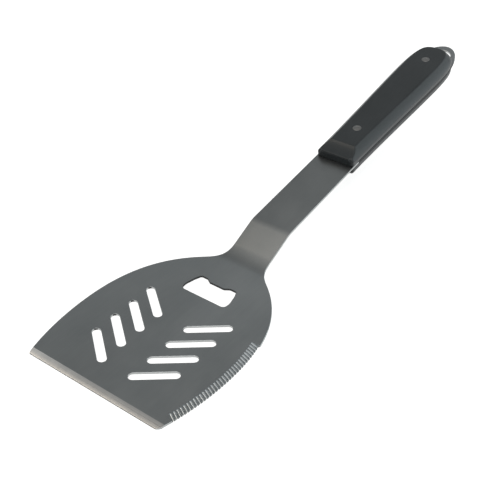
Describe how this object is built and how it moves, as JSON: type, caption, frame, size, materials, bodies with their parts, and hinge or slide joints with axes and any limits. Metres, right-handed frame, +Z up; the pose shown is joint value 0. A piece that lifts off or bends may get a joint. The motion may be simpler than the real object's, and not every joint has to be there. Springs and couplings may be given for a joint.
{
  "type": "grill spatula",
  "caption": "Bent steel grill turner with chevron drain slots, a bottle opener cut-out, a serrated side, and a riveted black grip with a hanging hole behind it.",
  "frame": {"origin": "on the blade's underside, on the centre line, midway between the front edge and the first bend", "axes": "+X from the blade's front edge towards the handle's tail, +Y to the left (the serrated side is at -Y), +Z up, square to the flat blade"},
  "size_m": [0.455, 0.1226, 0.0628],
  "materials": {
    "blade_steel": "brushed, lengthways grain",
    "grip_black": "satin black, dense moulded or resin-bonded scales",
    "rivet_steel": "satin rivet heads"
  },
  "bodies": {
    "root": {"blade_and_tang": "blade_steel", "upper_scale": "grip_black", "lower_scale": "grip_black", "front_rivet_cap": "rivet_steel", "front_rivet_post": "rivet_steel", "rear_rivet_cap": "rivet_steel", "rear_rivet_post": "rivet_steel"}
  },
  "joints": []
}
